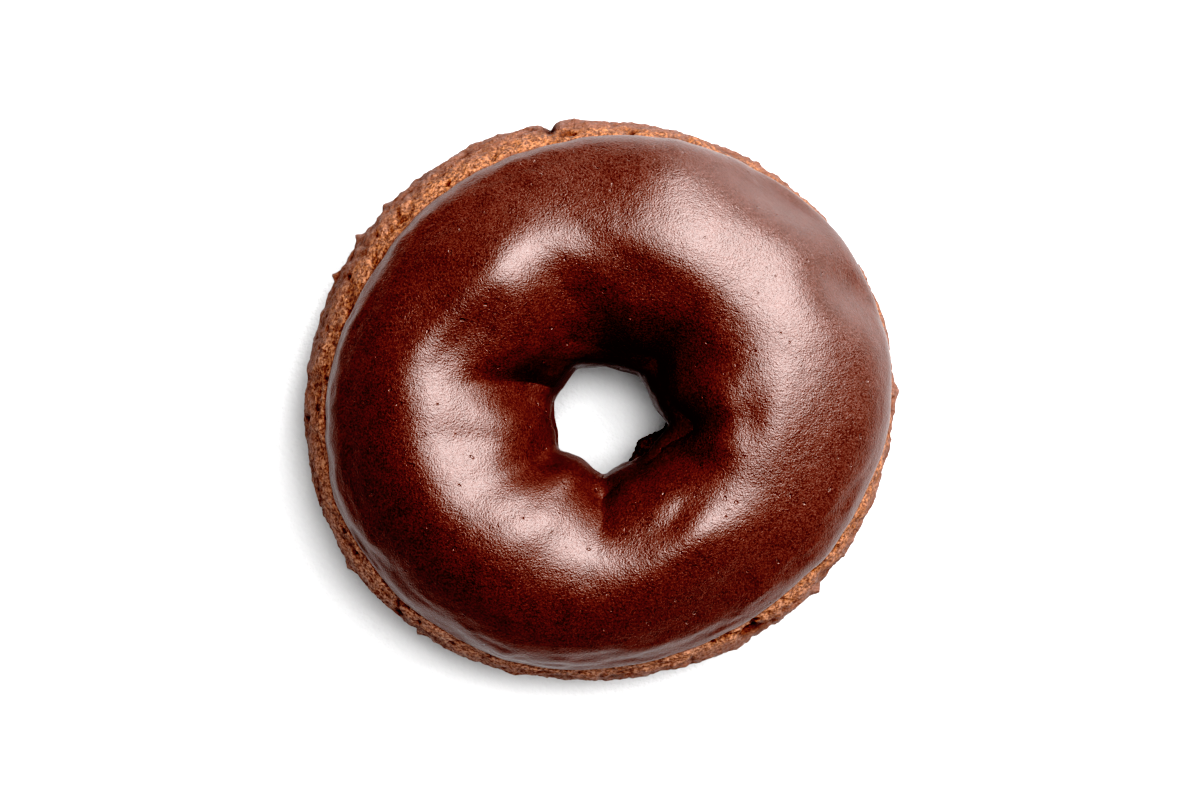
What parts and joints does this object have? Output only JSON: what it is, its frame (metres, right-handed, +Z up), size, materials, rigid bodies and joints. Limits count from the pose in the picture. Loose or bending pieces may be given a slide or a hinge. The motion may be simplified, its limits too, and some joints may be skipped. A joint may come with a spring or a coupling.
{
  "type": "iced ring doughnut",
  "caption": "Whole ring doughnut of fried cake dough, its top and the inside of its hole dipped in chocolate icing.",
  "frame": {"origin": "middle of the footprint, on the surface that the doughnut lies on", "axes": "+Z up, through the icing; +X along the doughnut's longest width; +Y across it"},
  "size_m": [0.0878, 0.0834, 0.0358],
  "materials": {
    "fried_cake": "matte, rough fried crumb",
    "chocolate_icing": "satin, set dipping icing"
  },
  "bodies": {
    "root": {"cake_ring": "fried_cake", "chocolate_icing": "chocolate_icing"}
  },
  "joints": []
}
